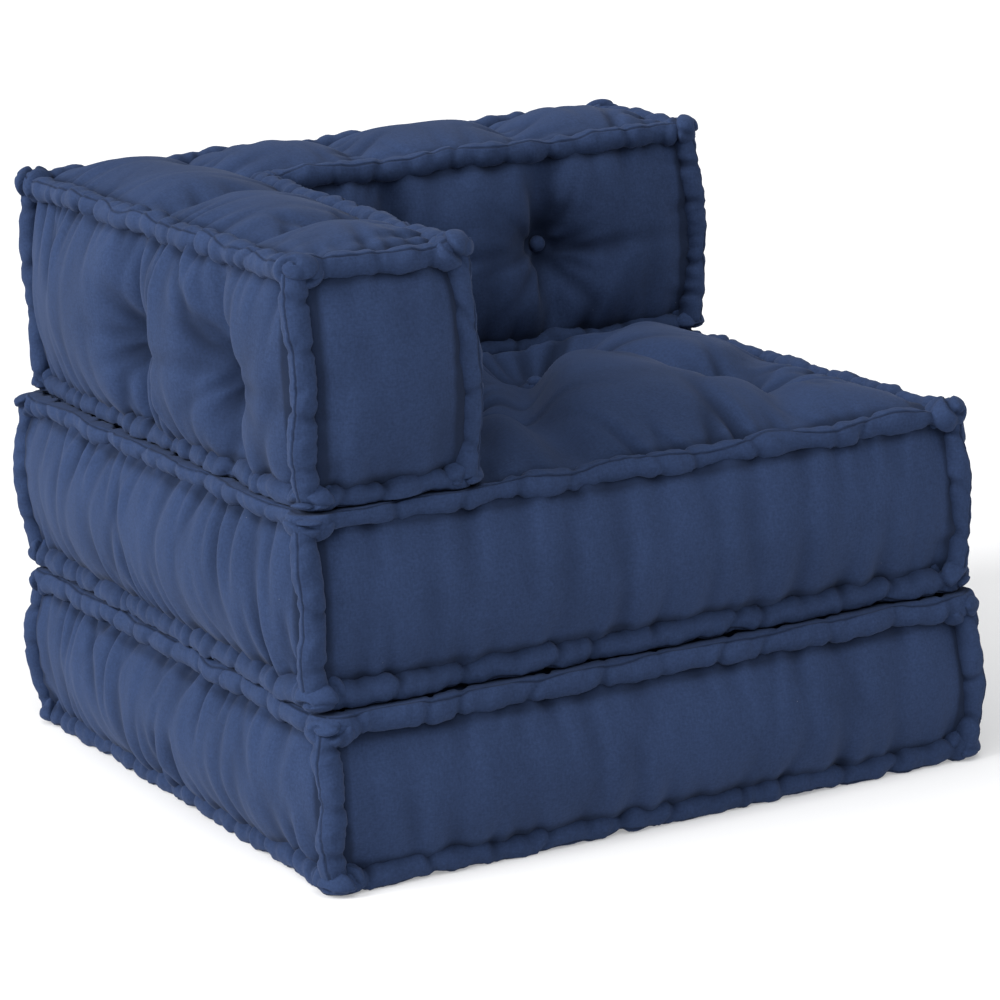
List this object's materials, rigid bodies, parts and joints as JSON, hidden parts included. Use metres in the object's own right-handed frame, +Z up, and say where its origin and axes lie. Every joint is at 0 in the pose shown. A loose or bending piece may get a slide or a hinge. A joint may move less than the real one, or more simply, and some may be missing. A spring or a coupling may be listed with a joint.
{
  "type": "floor cushion",
  "caption": "Modular tufted floor seat: square base and seat cushions under an L-shaped cushion that makes one arm and the back, all with stuffed rolled edges.",
  "frame": {"origin": "on the floor, under the middle of the seat cushion, at the underside of the base cushion", "axes": "+X to the right as seen from the front (the arm is at -X), +Y towards the back, +Z up; the front of the seat faces -Y"},
  "size_m": [0.7222, 0.7112, 0.5817],
  "materials": {
    "navy_cotton": "plain-weave cotton, soft matt",
    "rolled_edge_cotton": "plain-weave cotton, rolled and hand stitched",
    "covered_button": "cotton-covered button with twine",
    "cotton_wadding": "loose fibre wadding"
  },
  "bodies": {
    "base_cushion": {"base_back_left_upright_roll": "rolled_edge_cotton", "base_back_panel": "navy_cotton", "base_back_right_upright_roll": "rolled_edge_cotton", "base_bottom_panel": "navy_cotton", "base_bottom_rolled_edge": "rolled_edge_cotton", "base_filling": "cotton_wadding", "base_front_left_upright_roll": "rolled_edge_cotton", "base_front_panel": "navy_cotton", "base_front_right_upright_roll": "rolled_edge_cotton", "base_left_panel": "navy_cotton", "base_right_panel": "navy_cotton", "base_top_panel": "navy_cotton", "base_top_rolled_edge": "rolled_edge_cotton", "base_tuft_tie_1": "covered_button", "base_tuft_tie_2": "covered_button", "base_tuft_tie_3": "covered_button", "base_tuft_tie_4": "covered_button"},
    "seat_cushion": {"seat_back_left_upright_roll": "rolled_edge_cotton", "seat_back_panel": "navy_cotton", "seat_back_right_upright_roll": "rolled_edge_cotton", "seat_bottom_panel": "navy_cotton", "seat_bottom_rolled_edge": "rolled_edge_cotton", "seat_filling": "cotton_wadding", "seat_front_left_upright_roll": "rolled_edge_cotton", "seat_front_panel": "navy_cotton", "seat_front_right_upright_roll": "rolled_edge_cotton", "seat_left_panel": "navy_cotton", "seat_right_panel": "navy_cotton", "seat_top_panel": "navy_cotton", "seat_top_rolled_edge": "rolled_edge_cotton", "seat_tuft_tie_1": "covered_button", "seat_tuft_tie_2": "covered_button", "seat_tuft_tie_3": "covered_button", "seat_tuft_tie_4": "covered_button"},
    "back_cushion": {"back_arm_front_inner_upright_roll": "rolled_edge_cotton", "back_arm_front_outer_upright_roll": "rolled_edge_cotton", "back_arm_front_panel": "navy_cotton", "back_arm_inner_panel": "navy_cotton", "back_arm_outer_panel": "navy_cotton", "back_back_inner_panel": "navy_cotton", "back_back_outer_panel": "navy_cotton", "back_bottom_panel": "navy_cotton", "back_bottom_rolled_edge": "rolled_edge_cotton", "back_filling": "cotton_wadding", "back_inner_corner_upright_roll": "rolled_edge_cotton", "back_rear_left_upright_roll": "rolled_edge_cotton", "back_right_end_inner_upright_roll": "rolled_edge_cotton", "back_right_end_outer_upright_roll": "rolled_edge_cotton", "back_right_end_panel": "navy_cotton", "back_top_panel": "navy_cotton", "back_top_rolled_edge": "rolled_edge_cotton", "back_tuft_tie_1": "covered_button", "back_tuft_tie_2": "covered_button", "back_tuft_tie_3": "covered_button", "back_tuft_tie_4": "covered_button"}
  },
  "joints": [
    {"name": "seat_lift", "type": "slide", "parent": "base_cushion", "child": "seat_cushion", "axis": [0, 0, 1], "range_m": [0, 0.3]},
    {"name": "back_lift", "type": "slide", "parent": "seat_cushion", "child": "back_cushion", "axis": [0, 0, 1], "range_m": [0, 0.3]}
  ]
}
